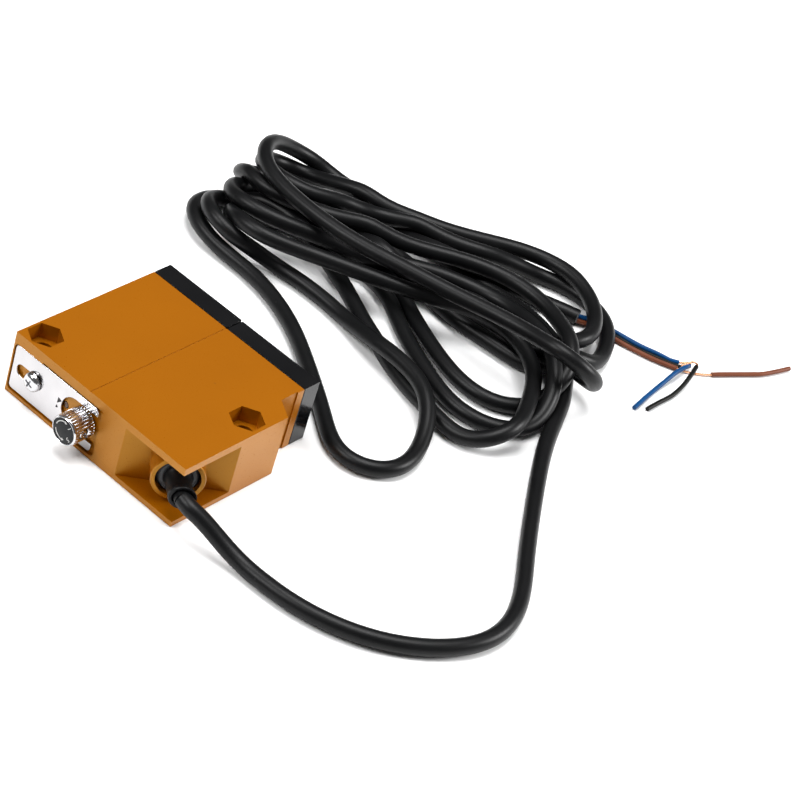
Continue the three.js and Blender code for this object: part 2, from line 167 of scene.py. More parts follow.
LOOKS = {
    "orange_plastic": surface(
        "orange_plastic", (0.250, 0.0730, 0.0004), (0.235, 0.0680, 0.0004), (0.27, 0.35),
        patch=45, grain=3500, bump=0.12,
        specks={"scale": 60, "size": 0.028, "share": 0.5, "colour": (0.06, 0.025, 0.005)},
        IOR=1.7, Specular_Tint=(1.0, 0.55, 0.08, 1.0), Specular_IOR_Level=1.0,
    ),
    "black_window": surface(
        "black_window", (0.003, 0.003, 0.0035), (0.005, 0.005, 0.0055), (0.10, 0.17),
        patch=80, grain=1500, bump=0.05, Specular_IOR_Level=0.42,
    ),
    "clear_lens": surface(
        "clear_lens", (0.86, 0.90, 0.93), (0.80, 0.86, 0.90), (0.03, 0.08),
        grain=900, bump=0.03, Transmission_Weight=0.9, IOR=1.49,
    ),
    "amber_lens": surface(
        "amber_lens", (0.075, 0.026, 0.003), (0.060, 0.020, 0.002), (0.12, 0.20),
        grain=900, bump=0.05,
    ),
    "black_plastic": surface(
        "black_plastic", (0.012, 0.012, 0.013), (0.018, 0.018, 0.019), (0.42, 0.58), bump=0.25,
        Specular_IOR_Level=0.3,
    ),
    "dial_plastic": surface(
        "dial_plastic", (0.007, 0.008, 0.009), (0.010, 0.011, 0.012), (0.42, 0.55),
        patch=400, bump=0.2, Specular_IOR_Level=0.2,
    ),
    "board": surface(
        "board", (0.02, 0.16, 0.07), (0.03, 0.20, 0.09), (0.28, 0.40), grain=1800, bump=0.2,
    ),
    "steel": surface(
        "steel", (0.60, 0.59, 0.60), (0.54, 0.53, 0.54), (0.10, 0.18), metallic=1.0,
        patch=160, grain=2200, bump=0.04, stretch=(1.0, 1.0, 0.08),
    ),
    "white_plastic": surface(
        "white_plastic", (0.80, 0.80, 0.77), (0.74, 0.74, 0.71), (0.40, 0.55), bump=0.2,
    ),
    "brass": surface(
        "brass", (0.72, 0.55, 0.26), (0.64, 0.48, 0.22), (0.22, 0.36), metallic=1.0,
        stretch=(1.0, 0.1, 1.0),
    ),
    "chrome": surface(
        "chrome", (0.66, 0.66, 0.67), (0.58, 0.58, 0.60), (0.15, 0.23), metallic=1.0,
        patch=500, grain=1600, bump=0.06,
    ),
    "grey_plastic": surface(
        "grey_plastic", (0.020, 0.023, 0.026), (0.028, 0.032, 0.036), (0.36, 0.50),
        patch=300, bump=0.25,
    ),
    "black_rubber": surface(
        "black_rubber", (0.0026, 0.0027, 0.0030), (0.0044, 0.0045, 0.0048), (0.34, 0.44),
        patch=90, grain=2600, bump=0.16,
        specks={"scale": 220, "size": 0.05, "share": 0.25, "colour": (0.06, 0.06, 0.06)},
        Specular_IOR_Level=0.17,
    ),
    "blue_insulation": surface(
        "blue_insulation", (0.001, 0.038, 0.125), (0.0015, 0.046, 0.150), (0.34, 0.46),
        patch=300, bump=0.15, Specular_IOR_Level=0.15,
    ),
    "brown_insulation": surface(
        "brown_insulation", (0.115, 0.032, 0.014), (0.140, 0.042, 0.019), (0.34, 0.46),
        patch=300, bump=0.15, Specular_IOR_Level=0.15,
    ),
    "black_insulation": surface(
        "black_insulation", (0.004, 0.004, 0.0036), (0.006, 0.006, 0.0054), (0.34, 0.46),
        patch=300, bump=0.15, Specular_IOR_Level=0.12,
    ),
    "copper": surface(
        "copper", (0.83, 0.46, 0.27), (0.74, 0.36, 0.19), (0.20, 0.34), metallic=1.0,
        patch=900, bump=0.1,
    ),
    "mark_paint": surface(
        "mark_paint", (0.52, 0.52, 0.51), (0.46, 0.46, 0.45), (0.35, 0.5), patch=900, bump=0.2,
    ),
    "filler": surface(
        "filler", (0.17, 0.175, 0.18), (0.12, 0.125, 0.13), (0.45, 0.6), patch=900, bump=0.3,
    ),
}
# looks that the record has no slot of its own for
SLOTS = {s["node"]: s["material_slot"] for s in frame["record"]["subparts"]}
for node, thing in frame["nodes"].items():
    thing.data.materials.clear()
    thing.data.materials.append(LOOKS["amber_lens" if node == "light_pipe" else SLOTS[node]])

# ---------------------------------------------------------------- cable
CABLE_DIAMETER = 4.4
BEND_RADIUS = 10.5  # no bend is tighter than about this
CABLE_STEP = 3.0  # between the points that are settled
FINE_STEP = 0.9  # between the points of the finished cable
SETTLE_TURNS = 1100
LATE = 0.8  # the share of the turns after which a strand is held more loosely to its route
HOLD, LATE_HOLD = 0.05, 0.015
LIFT, FALL = 0.01, 0.01
STIFFNESS = 0.09
BEND_PUSH, STRETCH_PULL, CONTACT_PUSH = 0.3, 0.5, 0.22
CONTACT_GAP = 1.02 * CABLE_DIAMETER

# the cable's route in mm, from the strain relief to the end of its jacket; Z is where a strand rides
# on the ones below it before they are settled against each other
LEAD = [
    (29.8, -22.4, 9.0), (31, -22.8, 8.95), (32.4, -22.8, 8.7), (34.6, -22.3, 8.0), (37.4, -21.7, 6.8),
    (40.9, -20.9, 5.2), (45.3, -20.3, 3.7), (50, -20, 2.6), (58, -20, 2.3), (66, -19, 2.3), (75, -16, 2.3),
    (83, -12, 2.3), (89, -7, 2.3), (94, -1, 2.3), (98, 6, 2.3), (100, 15, 2.3), (96, 28, 2.3),
    (86, 43, 2.3), (74, 61, 2.3), (64, 77, 2.3), (55.8, 92, 2.3),
]
FIRST_TURN = [
    (48.8, 104, 2), (39, 115, 2), (24, 120, 2), (11, 119, 2), (-4, 117, 2), (-18, 118, 2), (-33, 118, 2),
    (-47, 117, 3), (-55, 110, 8), (-57, 101, 14), (-55, 93, 17), (-51, 87, 17), (-44, 85, 16),
    (-30, 83, 16), (-15, 83, 16), (1, 87, 16), (17, 91, 16), (32, 97, 16), (45, 100, 16), (52, 101, 16),
]
LOW_LOOP = [
    (56, 104, 13), (56, 108, 8), (53, 109, 4), (49, 103, 7), (41, 103, 4), (33, 103, 2), (24, 101, 2),
    (12, 101, 2), (1, 101, 2), (-13, 99, 2), (-28, 95, 2), (-43, 91, 2), (-53, 84, 2), (-57.8, 77, 3),
    (-54, 67, 5), (-49, 64, 5), (-42, 64, 3), (-28, 64, 2), (-9, 58, 2), (6, 49, 2), (21, 39, 2),
    (35, 31, 2), (45, 35, 2), (45, 47, 2), (40, 57, 5), (32, 64, 7), (19, 67, 7), (0, 72, 3),
    (-15, 73, 2), (-29, 72, 3), (-39, 67, 8), (-48, 66, 10), (-53, 71, 8), (-54, 79, 7),
]
THIRD_TURN = [
    (-45, 83, 7), (-33, 87, 7), (-24, 87, 4), (-12, 83, 2), (9, 72, 2), (26, 66, 2), (39, 64, 2),
    (49, 66, 2), (55, 67, 7), (54, 76, 7), (50, 86, 7), (43, 96, 7), (32, 102, 7), (22, 96, 11),
    (11, 90, 11), (-2, 83, 11), (-16, 76, 11), (-29, 71, 11), (-38, 68, 11),
    (-45.5, 74.5, 8), (-48.5, 83.5, 4),
]
FOURTH_TURN = [
    (-41, 86, 4), (-28, 91, 3), (-18, 95, 2), (-6, 92, 2), (10, 83, 2), (25, 76, 2), (38, 72, 2),
    (48, 74, 2), (54, 79, 2), (55, 86, 4), (52, 94, 8), (47, 99, 11), (38, 105, 11), (21, 111, 7),
    (8, 108, 7), (-3, 101, 7), (-13, 94, 7), (-24, 82, 11), (-36, 76, 12), (-43, 74, 12), (-50, 79, 9),
    (-54, 88, 5),
]
FIFTH_TURN = [
    (-45, 89, 7), (-30, 92, 7), (-18, 97, 4), (-7, 96, 2), (5, 91, 2), (18, 85, 2), (31, 81, 2),
    (44, 82, 2), (49, 90, 2), (51, 97, 5), (51, 101, 9), (46, 107, 11), (36, 114, 11), (22, 117, 11),
    (6, 112, 11), (-5, 104, 11), (-18, 97, 11), (-30, 92, 11), (-40, 86, 12), (-47, 83, 12),
    (-55, 86, 9), (-59.5, 95, 4),
]
SIXTH_TURN = [
    (-56, 102, 2), (-42, 107, 2), (-24, 107, 2), (-7, 106, 2), (9, 104, 3), (20, 105, 2), (30, 107, 2),
    (38, 107, 5), (45, 108, 7), (47, 114.5, 5), (45, 126.3, 2), (41, 133.3, 2), (35.3, 137.8, 2),
    (27, 139, 2), (16, 137, 2), (7, 127, 7), (-6, 120, 7), (-20, 113, 7), (-32, 107, 7), (-40, 95, 11),
    (-47, 92, 12), (-55, 96, 10), (-60, 105, 5),
]
LAST_TURN = [
    (-52, 110, 4), (-39, 110, 7), (-28, 113, 7), (-14, 120, 7), (-2, 128, 7), (7, 135, 7), (17, 139, 7),
    (28, 137, 7), (37, 131, 7), (41, 121, 7), (41, 111, 7), (32, 111, 2), (20, 107, 4), (7, 101, 6),
    (-6, 98, 7), (-19, 97, 7), (-30, 101, 4), (-37, 110, 2), (-34, 116, 2), (-23, 115, 4), (-9, 113, 7),
    (5, 116, 7), (17, 124, 4), (26, 130, 2), (32, 132, 2),
]
CABLE_ROUTE = [
    *LEAD, *FIRST_TURN, *LOW_LOOP, *THIRD_TURN, *FOURTH_TURN, *FIFTH_TURN, *SIXTH_TURN, *LAST_TURN,
]


def smooth_line(points, step):
    """A centripetal Catmull-Rom curve through the points, sampled at equal steps."""
    p = np.array(points, float)
    p = np.vstack([2 * p[0] - p[1], p, 2 * p[-1] - p[-2]])
    knots = np.r_[0, np.cumsum(np.linalg.norm(np.diff(p, axis=0), axis=1) ** 0.5)]
    line = [p[1]]
    for i in range(1, len(p) - 2):
        t0, t1, t2, t3 = knots[i - 1 : i + 3]
        for t in np.linspace(t1, t2, 17)[1:]:
            a1 = (t1 - t) / (t1 - t0) * p[i - 1] + (t - t0) / (t1 - t0) * p[i]
            a2 = (t2 - t) / (t2 - t1) * p[i] + (t - t1) / (t2 - t1) * p[i + 1]
            a3 = (t3 - t) / (t3 - t2) * p[i + 1] + (t - t2) / (t3 - t2) * p[i + 2]
            b1 = (t2 - t) / (t2 - t0) * a1 + (t - t0) / (t2 - t0) * a2
            b2 = (t3 - t) / (t3 - t1) * a2 + (t - t1) / (t3 - t1) * a3
            line.append((t2 - t) / (t2 - t1) * b1 + (t - t1) / (t2 - t1) * b2)
    line = np.array(line)
    run = np.r_[0, np.cumsum(np.linalg.norm(np.diff(line, axis=0), axis=1))]
    even = np.linspace(0, run[-1], max(2, round(run[-1] / step)) + 1)
    return np.stack([np.interp(even, run, line[:, k]) for k in range(3)], axis=1)


def settle(goal):
    """Let the strands push each other apart, bend no tighter than they can, and lie on the floor.
    Each point stays close to its own sight line from the camera."""
    x = goal.copy()
    n = len(x)
    h = np.linalg.norm(np.diff(x, axis=0), axis=1).mean()
    eye = np.array(CAMERA_AT) / MM
    first, second = np.triu_indices(n, 4)
    chords = [
        (k, 2 * BEND_RADIUS * math.sin(min(k * h / (2 * BEND_RADIUS), 1.5))) for k in (2, 3, 4, 6)
    ]
    for turn in range(SETTLE_TURNS):
        sight = x - eye
        sight /= np.linalg.norm(sight, axis=1)[:, None]
        off = goal - x
        off -= (off * sight).sum(1)[:, None] * sight
        x += off * (HOLD if turn < LATE * SETTLE_TURNS else LATE_HOLD)
        x[:, 2] += (goal[:, 2] - x[:, 2]) * LIFT - FALL
        bow = np.zeros_like(x)
        bow[1:-1] = x[:-2] + x[2:] - 2 * x[1:-1]
        x[2:-2] -= STIFFNESS * (bow[1:-3] + bow[3:-1] - 2 * bow[2:-2])
        for _ in range(5):
            for k, least in chords:
                d = x[k:] - x[:-k]
                length = np.linalg.norm(d, axis=1)
                push = np.where(length < least, (least - length) / length * BEND_PUSH, 0)[:, None] * d
                x[k:] += push
                x[:-k] -= push
            for side in (0, 1):
                a = np.arange(side, n - 1, 2)
                d = x[a + 1] - x[a]
                length = np.linalg.norm(d, axis=1)
                pull = ((length - h) / length * STRETCH_PULL)[:, None] * d
                x[a] += pull
                x[a + 1] -= pull
        if turn % 8 == 0:
            near = ((x[first] - x[second]) ** 2).sum(1) < (2 * CABLE_DIAMETER) ** 2
            i, j = first[near], second[near]
        for _ in range(2):
            d = x[i] - x[j]
            length = np.linalg.norm(d, axis=1) + 1e-9
            closer = (CONTACT_GAP - length) / length * CONTACT_PUSH
            push = np.where(length < CONTACT_GAP, closer, 0)[:, None] * d
            np.add.at(x, i, push)
            np.add.at(x, j, -push)
        x[:, 2] = np.maximum(x[:, 2], CABLE_DIAMETER / 2 + 0.05)
        x[:4] = goal[:4]
    return x


def curve_piece(name, line, radius, look, sides=4):
    """One open spline with a round section, from points in mm in the object's frame."""
    data = bpy.data.curves.new(name, "CURVE")
    data.dimensions = "3D"
    data.bevel_depth = radius * MM
    data.bevel_resolution = sides
    data.use_fill_caps = True
    spline = data.splines.new("POLY")
    spline.points.add(len(line) - 1)
    spline.points.foreach_set("co", np.c_[line * MM, np.ones(len(line))].ravel())
    spline.use_smooth = True
    data.materials.append(LOOKS[look])
    thing = bpy.data.objects.new(name, data)
    bpy.context.collection.objects.link(thing)
    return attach(thing, "body")


cable_line = smooth_line(settle(smooth_line(CABLE_ROUTE, CABLE_STEP)), FINE_STEP)
cable = curve_piece("cable", cable_line, CABLE_DIAMETER / 2, "black_rubber", 6)
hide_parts("cable_lead", "cable_hank")

# ---------------------------------------------------------------- cores
CORE_RADIUS = 0.65
CORE_STEP = 0.4
WIRE_RADIUS = 0.3
WIRE_STEP = 0.12
WIRE_PITCH = 5.5  # of the strands' twist
OUTER_WIRES = 6  # around one in the middle
WIRE_SIDES = 8
# each core in mm: its insulation up to the cut, the bare strands, and the insulation slid to their end
CORES = {
    "blue": (
        [(30, 130.9, 2.6), (32.5, 132.2, 2.6), (36, 135.9, 1.7), (41.2, 137.6, 1.3), (49.3, 138.6, 1.7),
         (54.7, 140.9, 1.4), (57.8, 142.3, 1.0), (59.6, 143.9, 0.8)],
        [(58.8, 143.2, 0.9), (59.9, 144.2, 0.8), (61.1, 146.4, 0.7), (61.9, 146.6, 0.8), (62.4, 145.2, 0.9)],
        [(62.3, 145.4, 0.9), (62.5, 142.5, 1.7), (62.6, 138, 1.9), (62.8, 133.5, 1.2), (63.1, 129, 0.7),
         (63.7, 124, 0.7), (64.8, 116.5, 0.7)],
    ),
    "brown": (
        [(30.2, 130.2, 1.6), (32.7, 131.6, 1.5), (37.4, 134.9, 0.8), (43.6, 135.8, 0.7), (50.5, 137.3, 0.7),
         (56, 139.1, 0.7), (61, 141.4, 0.7)],
        [(60.2, 141.1, 0.7), (62.6, 142.6, 0.5), (65.7, 145.6, 0.4), (68.6, 149.2, 0.6)],
        [(68, 148.4, 0.7), (70.4, 152.6, 0.7), (73.7, 158.2, 0.7), (76, 162.3, 0.7), (77.6, 167, 0.7),
         (78.9, 171.7, 0.7)],
    ),
    "black": (
        [(29.6, 131, 1.5), (32, 132.3, 1.4), (36.6, 135.6, 0.8), (42.4, 136.9, 0.7), (50, 138.4, 0.7),
         (55.4, 140.2, 0.7), (58.7, 141.5, 0.7), (61.4, 142.7, 0.8)],
        [(60.7, 142.4, 0.8), (61.7, 144.6, 1.5), (62.6, 146.3, 2.1), (63.9, 146.3, 2.2), (64.5, 145.2, 2.0)],
        [(64.3, 145.5, 2.0), (65.6, 141.2, 1.9), (66.8, 136, 1.2), (67.4, 130.4, 0.7), (67.2, 124.1, 0.7),
         (67.1, 119.4, 0.7)],
    ),
}


def tube_rings(line, offsets, radius, sides):
    """Rings of a tube that follows the line at a sideways offset for each point."""
    ahead = np.gradient(line, axis=0)
    ahead /= np.linalg.norm(ahead, axis=1)[:, None]
    across = np.cross(ahead, (0, 0, 1))
    across /= np.linalg.norm(across, axis=1)[:, None] + 1e-9
    up = np.cross(across, ahead)
    a = np.arange(sides) / sides * 2 * math.pi
    middle = line + offsets[:, :1] * across + offsets[:, 1:] * up
    ring = np.cos(a)[None, :, None] * across[:, None] + np.sin(a)[None, :, None] * up[:, None]
    return middle[:, None] + radius * ring


def tube_faces(rings, sides, start):
    faces = []
    for i in range(rings - 1):
        for k in range(sides):
            a, b = start + i * sides + k, start + i * sides + (k + 1) % sides
            faces.append((a, b, b + sides, a + sides))
    faces.append(tuple(start + k for k in reversed(range(sides))))
    faces.append(tuple(start + (rings - 1) * sides + k for k in range(sides)))
    return faces


def strands(name, route):
    """A twist of fine wires."""
    line = smooth_line(route, WIRE_STEP)
    turns = np.linspace(0, 2 * math.pi * len(line) * WIRE_STEP / WIRE_PITCH, len(line))
    verts, faces = [], []
    for i in range(OUTER_WIRES + 1):
        lean = 0 if i == OUTER_WIRES else WIRE_RADIUS * 0.66
        angle = turns + i * 2 * math.pi / OUTER_WIRES
        offsets = np.stack([np.cos(angle), np.sin(angle)], axis=1) * lean
        rings = tube_rings(line, offsets, WIRE_RADIUS / 3, WIRE_SIDES)
        faces += tube_faces(len(line), WIRE_SIDES, len(verts))
        verts += [tuple(v) for v in rings.reshape(-1, 3) * MM]
    mesh = bpy.data.meshes.new(name)
    mesh.from_pydata(verts, [], faces)
    mesh.shade_smooth()
    mesh.materials.append(LOOKS["copper"])
    thing = bpy.data.objects.new(name, mesh)
    bpy.context.collection.objects.link(thing)
    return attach(thing, "body")


for colour, (jacket, wire, end) in CORES.items():
    look = f"{colour}_insulation"
    core_line = smooth_line(jacket, CORE_STEP)
    core = curve_piece(f"{colour}_core", core_line, CORE_RADIUS, look)
    bare = strands(f"{colour}_strands", wire)
    slid = curve_piece(f"{colour}_core_end", smooth_line(end, CORE_STEP), CORE_RADIUS, look)
    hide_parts(f"core_{colour}")
    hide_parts(f"wire_{colour}")
    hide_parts(f"core_end_{colour}")

# ---------------------------------------------------------------- sensor shapes, in mm from CORNER
LENGTH, BODY_DEPTH, HEIGHT = 58, 46.6, 18
WALL = 2
WINDOW_START = BODY_DEPTH + 0.25
WINDOW_DEPTH = 5.5
EMITTER_STEP = 0.2
WINDOW_RIGHT = LENGTH - 5.1
SPLIT_X = 25.8
AXIS_Z = 8.2
KNOB_X, KNOB_BACK = 25.4, 0.7
SCREW_X, LAMP_X = 8.2, 18.6
HOLES = ((4.65, 5.2), (52.9, 26.1))
NUT_RADIUS = 8 / math.sqrt(3)
NUT_DEPTH = 4.4
RECESS = (0.4, 30.8, 0.95, 14.9)
PLATE = (0.65, 29.35, 1.5, 14.6)
RECESS_DEPTH = 1.05
PLATE_FRONT, PLATE_BACK = 0.25, 0.75
BOLT_RADIUS = 2.6
BOSS_RADIUS, POCKET_RADIUS, CABLE_BORE_RADIUS = 6.6, 5.5, 2.6
KNOB_TEETH = 30
KNOB_RADIUS = 4.0
KNOB_FRONT, DIAL_FACE, DIAL_BACK = -6.1, -6.02, -5.8
SET_SCREW_Y = -2.7
CABLE_CORNER = Vector((LENGTH, 0, 9))
OUTWARD = Vector((1, -1, 0)).normalized()


# shading: a face above this area in mm2 is flat, faces in one plane agree this closely, and a small
# face takes its normal from the ones around it within this angle
FLAT_AREA = 8.0
ONE_PLANE = 0.99999
SMOOTH_ANGLE = 50


def piece(name, verts, faces):
    mesh = bpy.data.meshes.new(name)
    mesh.from_pydata([tuple(v) for v in verts], [], faces)
    shape = bmesh.new()
    shape.from_mesh(mesh)
    bmesh.ops.recalc_face_normals(shape, faces=shape.faces)
    shape.to_mesh(mesh)
    shape.free()
    thing = bpy.data.objects.new(name, mesh)
    bpy.context.collection.objects.link(thing)
    return thing


def rounded(points, radii, steps=6):
    """The outline with its corners turned into arcs; radii is one number, or one for each corner."""
    if not hasattr(radii, "__len__"):
        radii = [radii] * len(points)
    out = []
    count = len(points)
    for i, radius in enumerate(radii):
        here = Vector(points[i])
        back = (Vector(points[i - 1]) - here).normalized()
        on = (Vector(points[(i + 1) % count]) - here).normalized()
        if radius <= 0:
            out.append(tuple(here))
            continue
        half = back.angle(on) / 2
        reach = radius / math.tan(half)
        middle = here + (back + on).normalized() * (radius / math.sin(half))
        start, stop = here + back * reach - middle, here + on * reach - middle
        sweep = start.angle_signed(stop)
        for k in range(steps + 1):
            turn = -sweep * k / steps
            spun_x = start.x * math.cos(turn) - start.y * math.sin(turn)
            spun_y = start.x * math.sin(turn) + start.y * math.cos(turn)
            out.append((middle.x + spun_x, middle.y + spun_y))
    return out


def rectangle(x0, x1, y0, y1, radius=0.0, steps=6):
    return rounded([(x0, y0), (x1, y0), (x1, y1), (x0, y1)], radius, steps)


def prism(name, outline, low, high, along="z"):
    """An outline in X and Y raised along z, or one in X and Z carried along y."""
    n = len(outline)
    if along == "z":
        verts = [(u, v, level) for level in (low, high) for u, v in outline]
    else:
        verts = [(u, level, v) for level in (low, high) for u, v in outline]
    faces = [tuple(range(n)), tuple(range(n, 2 * n))]
    faces += [(i, (i + 1) % n, n + (i + 1) % n, n + i) for i in range(n)]
    return piece(name, verts, faces)


def block(name, x0, x1, y0, y1, z0, z1):
    return prism(name, rectangle(x0, x1, y0, y1), z0, z1)


def turned(name, profile, origin, along, sides=64, wave=None):
    """A solid turned about the line from origin along; profile is a list of (radius, distance)."""
    along = Vector(along).normalized()
    up = Vector((0, 1, 0)) if abs(along.z) > 0.9 else Vector((0, 0, 1))
    up = (up - up.dot(along) * along).normalized()
    side = up.cross(along)
    verts, rings = [], []
    for row, (radius, distance) in enumerate(profile):
        centre = Vector(origin) + distance * along
        if radius < 1e-6:
            rings.append([len(verts)])
            verts.append(centre)
            continue
        rings.append(list(range(len(verts), len(verts) + sides)))
        for k in range(sides):
            a = 2 * math.pi * k / sides
            r = radius + (wave(row, a) if wave else 0)
            verts.append(centre + r * (math.cos(a) * up + math.sin(a) * side))
    faces = []
    closed = rings if len(rings[0]) == 1 and len(rings[-1]) == 1 else [*rings, rings[0]]
    for a, b in zip(closed, closed[1:]):
        for k in range(sides):
            m = (k + 1) % sides
            if len(a) == 1:
                faces.append((a[0], b[m], b[k]))
            elif len(b) == 1:
                faces.append((a[k], a[m], b[0]))
            else:
                faces.append((a[k], a[m], b[m], b[k]))
    return piece(name, verts, faces)


def rod(radius, low, high, origin, along, sides=48):
    return turned("cutter", [(0, low), (radius, low), (radius, high), (0, high)], origin, along, sides)


def evaluated_mesh(thing):
    bpy.context.view_layer.update()
    ready = thing.evaluated_get(bpy.context.evaluated_depsgraph_get())
    return bpy.data.meshes.new_from_object(ready)


def baked(thing):
    """Apply the piece's modifiers."""
    mesh = evaluated_mesh(thing)
    thing.modifiers.clear()
    thing.data = mesh
    return thing


def combine(thing, others, operation="DIFFERENCE"):
    for other in others:
        modifier = thing.modifiers.new("combine", "BOOLEAN")
        modifier.operation = operation
        modifier.solver = "EXACT"
        modifier.object = other
    baked(thing)
    for other in others:
        bpy.data.objects.remove(other)
    return thing


def soften(thing, width, segments=3, limit=32):
    """Join faces that lie in one plane, and round the edges between the rest."""
    shape = bmesh.new()
    shape.from_mesh(thing.data)
    bmesh.ops.remove_doubles(shape, verts=shape.verts, dist=0.001)
    bmesh.ops.dissolve_limit(
        shape, angle_limit=math.radians(0.4), verts=shape.verts, edges=shape.edges
    )
    for face in shape.faces:
        face.smooth = True
    shape.to_mesh(thing.data)
    shape.free()
    bevel = thing.modifiers.new("bevel", "BEVEL")
    bevel.width = width
    bevel.segments = segments
    bevel.limit_method = "ANGLE"
    bevel.angle_limit = math.radians(limit)
    bevel.miter_outer = "MITER_ARC"
    return baked(thing)


def shade(mesh):
    """Large flat faces, and the small ones in their planes, keep their own normal. The rounded edges
    between them turn smoothly into them."""
    limit = math.cos(math.radians(SMOOTH_ANGLE))
    mesh.shade_smooth()
    own = [p.normal.copy() for p in mesh.polygons]
    around = [[] for _ in mesh.vertices]
    for p in mesh.polygons:
        for v in p.vertices:
            around[v].append(p.index)
    flat = {p.index for p in mesh.polygons if p.area > FLAT_AREA}

    def neighbours(face):
        return {other for v in mesh.polygons[face].vertices for other in around[v]}

    def in_a_flat_plane(face):
        return any(own[other].dot(own[face]) > ONE_PLANE for other in neighbours(face) & flat)

    for _ in range(4):
        beside = {other for face in flat for other in neighbours(face)} - flat
        flat |= {face for face in beside if in_a_flat_plane(face)}
    normals = []
    for p in mesh.polygons:
        for v in p.vertices:
            if p.index in flat:
                normals.append(own[p.index])
                continue
            total = Vector()
            for other in around[v]:
                if own[other].dot(own[p.index]) > limit:
                    total += own[other] * min(mesh.polygons[other].area, 50) ** 0.5
            normals.append(total.normalized() if total.length > 1e-9 else own[p.index])
    mesh.normals_split_custom_set(normals)


def finish_piece(thing, body, look, *nodes, crease=None):
    """Move a piece from mm at the corner to metres, give it its body and material, and hide the CAD nodes
    that it stands in for.
    """
    mesh = thing.data
    if not crease:
        shade(mesh)
    mesh.transform(Matrix.Translation(CORNER) @ Matrix.Scale(MM, 4))
    if crease:
        mesh.shade_smooth()
        mesh.set_sharp_from_angle(angle=math.radians(crease))
    mesh.materials.clear()
    mesh.materials.append(LOOKS[look])
    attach(thing, body)
    if nodes:
        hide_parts(*nodes)
    return thing


# ---------------------------------------------------------------- housing
def nut_cutters():
    cutters = []
    for x, y in HOLES:
        cutters.append(rod(NUT_RADIUS, HEIGHT - NUT_DEPTH, HEIGHT + 1, (x, y, 0), (0, 0, 1), 6))
        cutters.append(rod(BOLT_RADIUS, -1, HEIGHT - NUT_DEPTH + 0.5, (x, y, 0), (0, 0, 1), 48))
    return cutters


def make_housing():
    inner = WINDOW_RIGHT
    outline = [
        (0, 0), (LENGTH, 0), (LENGTH, 35.2), (inner - 0.35, 38.6), (inner - 0.35, 44.3), (inner, 44.3),
        (inner, BODY_DEPTH), (0, BODY_DEPTH),
    ]
    housing = prism("case", outline, 0, HEIGHT)
    notch = prism("cutter", [(38.5, 0), (36.5, -2), (60, -2), (60, 21.5)], 1.5, 16)
    hollow = [
        (11, 3.4), (39.2, 3.4), (46.4, 10.6), (46.4, 33), (50.4, 37.5), (50.4, 48), (WALL, 48),
        (WALL, 11), (11, 11),
    ]
    combine(housing, [notch, prism("cutter", hollow, WALL, HEIGHT - WALL)])
    boss = turned(
        "boss",
        [(0, -14.4), (BOSS_RADIUS, -14.4), (BOSS_RADIUS, -6.9), (BOSS_RADIUS - 0.15, -6.7), (0, -6.7)],
        CABLE_CORNER, OUTWARD, 96,
    )
    combine(housing, [boss], "UNION")
    recess = rectangle(*RECESS, 1.3)
    cutters = [
        *nut_cutters(),
        rod(POCKET_RADIUS, -12.3, 0, CABLE_CORNER, OUTWARD, 96),
        rod(CABLE_BORE_RADIUS, -18, -12, CABLE_CORNER, OUTWARD),
        prism("cutter", recess, -1, RECESS_DEPTH, "y"),
        block("cutter", 10, RECESS[1], -1, 0.45, 14.8, 15.5),
        rod(1.8, 0.5, 4, (KNOB_X, 0, AXIS_Z), (0, 1, 0)),
        rod(1.05, 0.5, 4, (LAMP_X, 0, AXIS_Z), (0, 1, 0)),
        rod(1.5, 0.5, 6.5, (SCREW_X, 0, AXIS_Z), (0, 1, 0)),
    ]
    combine(housing, cutters)
    soften(housing, 0.18)
    groove = block(
        "cutter", SPLIT_X - 0.16, SPLIT_X + 0.16, -1, BODY_DEPTH + 1, HEIGHT - 0.2, HEIGHT + 1
    )
    combine(housing, [groove])
    return finish_piece(housing, "body", "orange_plastic", "housing")


make_housing()


# ---------------------------------------------------------------- windows
def make_window(name, x0, x1, extra, rim_left, rim_right, node):
    y0, y1 = WINDOW_START, WINDOW_START + WINDOW_DEPTH + extra
    window = prism(name, rectangle(x0, x1, y0, y1, 0.25, 3), 0, HEIGHT)
    rim_low, rim_high = WALL + 0.25, HEIGHT - WALL - 0.25
    rim = block("rim", rim_left, rim_right, BODY_DEPTH - 1.8, y0 + 0.5, rim_low, rim_high)
    combine(window, [rim], "UNION")
    cavity = block(
        "cutter", rim_left + 1, rim_right - 1, BODY_DEPTH - 3, y1 - 1.6, rim_low + 1, rim_high - 1
    )
    combine(window, [cavity])
    soften(window, 0.22)
    return finish_piece(window, "body", "black_window", node)


make_window("emitter_front", 0, SPLIT_X - 0.2, EMITTER_STEP, 2.25, SPLIT_X - 0.2, "window_emitter")
make_window("receiver_front", SPLIT_X + 0.2, WINDOW_RIGHT, 0, SPLIT_X + 0.2, 50.15, "window_receiver")


# ---------------------------------------------------------------- lock plate and its screw
def make_lock_plate():
    sheet = prism("plate", rectangle(*PLATE, 1.15, 10), PLATE_FRONT, PLATE_BACK, "y")
    throat = 4.3
    slot = rectangle(2.1, SCREW_X + 1.7, AXIS_Z - 1.7, AXIS_Z + 1.7, 1.69, 10)
    left = KNOB_X - throat - 3.2
    opening = rectangle(left, LENGTH, AXIS_Z - throat, AXIS_Z + throat, throat - 0.01, 16)
    combine(
        sheet, [prism("cutter", o, PLATE_FRONT - 1, PLATE_BACK + 1, "y") for o in (slot, opening)]
    )
    soften(sheet, 0.12, 3)
    return finish_piece(sheet, "lock_plate", "steel", "lock_plate")


